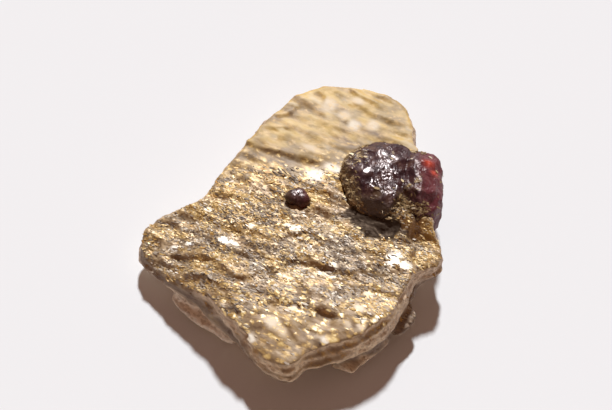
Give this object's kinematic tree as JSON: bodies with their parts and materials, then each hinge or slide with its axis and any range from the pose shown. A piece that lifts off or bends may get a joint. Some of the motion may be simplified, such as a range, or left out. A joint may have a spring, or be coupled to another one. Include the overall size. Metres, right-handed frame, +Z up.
{
  "type": "garnet in matrix",
  "caption": "Hand specimen of golden mica schist, a cleaved slab lying on its flat underside, with a large dark red garnet at one edge and a small garnet cluster on top.",
  "frame": {"origin": "on the surface the specimen rests on, under the middle of its bounding box", "axes": "+Z up from the flat underside, +Y from the blunt nose to the square far end, +X towards the large garnet's edge"},
  "size_m": [0.04, 0.0458, 0.011],
  "materials": {
    "schist": "glittering golden-brown mica schist",
    "garnet": "dark red vitreous crystal, part translucent"
  },
  "bodies": {
    "root": {"schist_matrix": "schist", "large_garnet": "garnet", "small_garnet": "garnet"}
  },
  "joints": []
}
